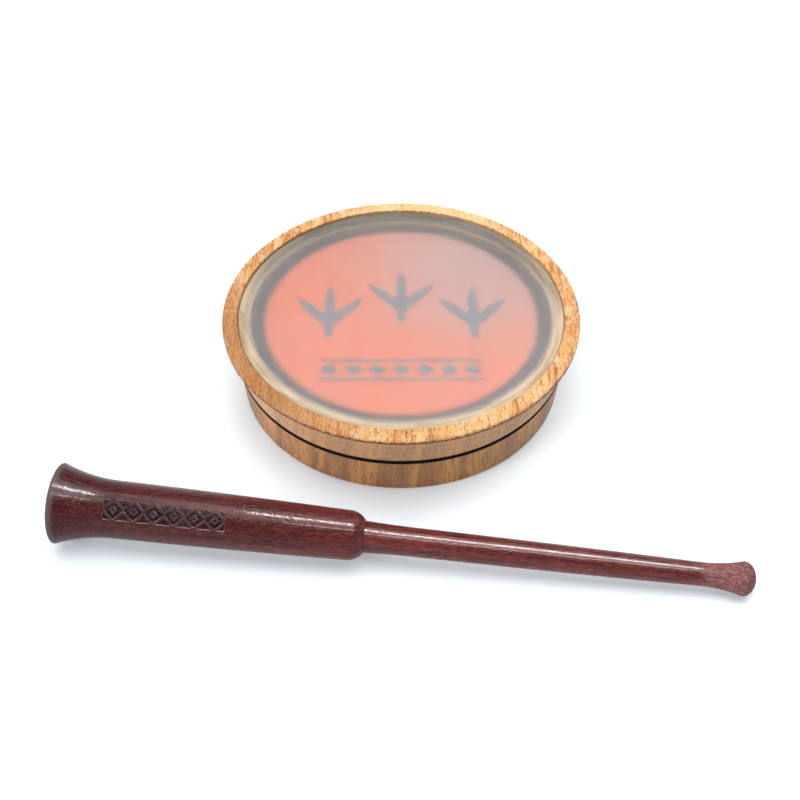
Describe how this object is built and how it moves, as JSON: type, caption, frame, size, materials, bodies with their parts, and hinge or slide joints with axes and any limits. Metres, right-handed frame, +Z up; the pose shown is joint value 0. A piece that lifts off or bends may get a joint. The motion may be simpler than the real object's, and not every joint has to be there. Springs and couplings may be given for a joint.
{
  "type": "pot bird call",
  "caption": "Friction bird call: a turned wooden pot with a frosted glass surface over a labelled sound board, and a turned wooden striker lying beside it.",
  "frame": {"origin": "middle of the pot's base, on the surface that the call stands on", "axes": "+Z up, +X along the striker's length to its tip's side, the striker lies on the -Y side of the pot"},
  "size_m": [0.1695, 0.1271, 0.0228],
  "materials": {
    "pot_wood": "oiled open-grain light brown wood, with a burnt black groove",
    "striker_wood": "dark red-brown wood under gloss lacquer, bare at the peg's tip",
    "frosted_glass": "sanded matt on its upper face, clear below",
    "clear_glass": "clear float glass with ground edges",
    "label_print": "matt printed paper, orange with a dark border",
    "adhesive": "milky silicone adhesive"
  },
  "bodies": {
    "pot_call": {"pot": "pot_wood", "surface_adhesive": "adhesive", "playing_surface": "frosted_glass", "pedestal_adhesive": "adhesive", "sound_board": "clear_glass", "sound_board_label": "label_print"},
    "striker": {"striker_handle": "striker_wood", "striker_peg": "striker_wood"}
  },
  "joints": [
    {"name": "striker_lift", "type": "slide", "parent": "pot_call", "child": "striker", "axis": [0, 0, 1], "range_m": [0, 0.08]}
  ]
}
